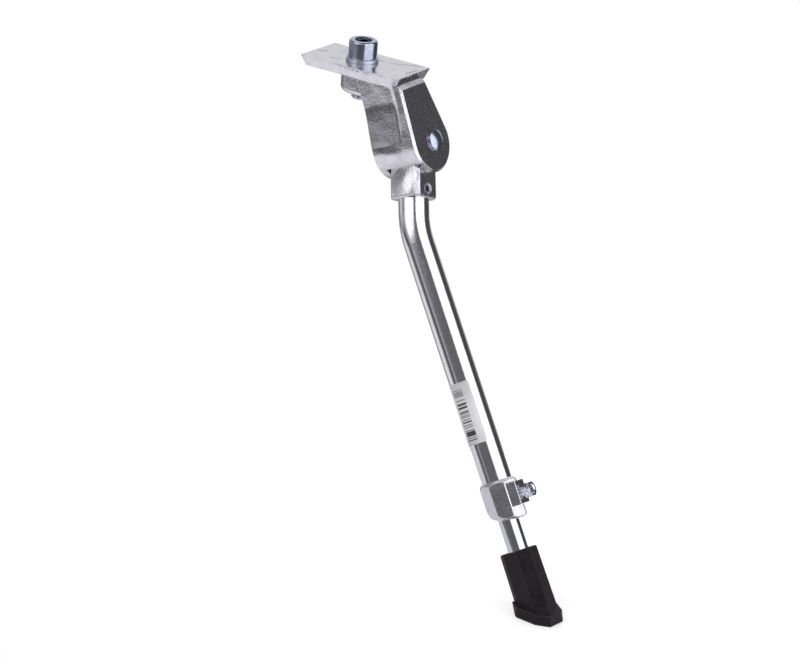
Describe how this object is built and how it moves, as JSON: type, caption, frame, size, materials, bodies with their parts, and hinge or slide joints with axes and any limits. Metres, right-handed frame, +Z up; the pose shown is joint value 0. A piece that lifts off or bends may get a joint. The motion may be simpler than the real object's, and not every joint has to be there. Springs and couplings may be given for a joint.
{
  "type": "bicycle kickstand",
  "caption": "Single-leg bicycle kickstand: a cast body bolts under the frame, a bent leg folds back on its rivet, and a clamped rod with a flat foot sets the length.",
  "frame": {"origin": "on the mounting screw's axis, at the plate's top face", "axes": "+Z up out of the plate, +X out to the side that the leg goes to, -Y to the front of the bicycle"},
  "size_m": [0.221, 0.082, 0.2751],
  "materials": {
    "cast_aluminium": "tumbled and polished casting",
    "polished_tube": "polished tube",
    "zinc_steel": "bright zinc plating",
    "label_paper": "plain white label",
    "black_plastic": "moulded, matte"
  },
  "bodies": {
    "mount": {"body": "cast_aluminium", "mounting_screw": "zinc_steel", "spring_washer": "zinc_steel", "pivot_rivet": "zinc_steel", "detent_spring": "zinc_steel"},
    "leg": {"leg_head": "cast_aluminium", "leg_tube": "polished_tube", "spring_pin": "zinc_steel", "label": "label_paper", "clamp_collar": "cast_aluminium"},
    "rod": {"inner_rod": "zinc_steel", "foot": "black_plastic"},
    "clamp": {"clamp_screw": "zinc_steel"},
    "plunger": {"detent_plunger": "zinc_steel"}
  },
  "joints": [
    {"name": "leg_swing", "type": "hinge", "parent": "mount", "child": "leg", "pos_m": [0.037, 0.002, -0.0404], "axis": [0.9171, 0, 0.3987], "range_deg": [0, 95]},
    {"name": "rod_slide", "type": "slide", "parent": "leg", "child": "rod", "axis": [0.5598, -0.1715, -0.8107], "range_m": [-0.016, 0.05]},
    {"name": "clamp_turn", "type": "hinge", "parent": "leg", "child": "clamp", "pos_m": [0.14132, -0.04516, -0.2062], "axis": [0.8277, 0.1614, 0.5374], "range_deg": [0, 180]},
    {"name": "detent_travel", "type": "slide", "parent": "mount", "child": "plunger", "axis": [-0.3987, 0, 0.9171], "range_m": [0, 0.0015], "stiffness_N_per_m": 300, "springref_m": -0.005, "deforming": ["detent_spring"]}
  ]
}
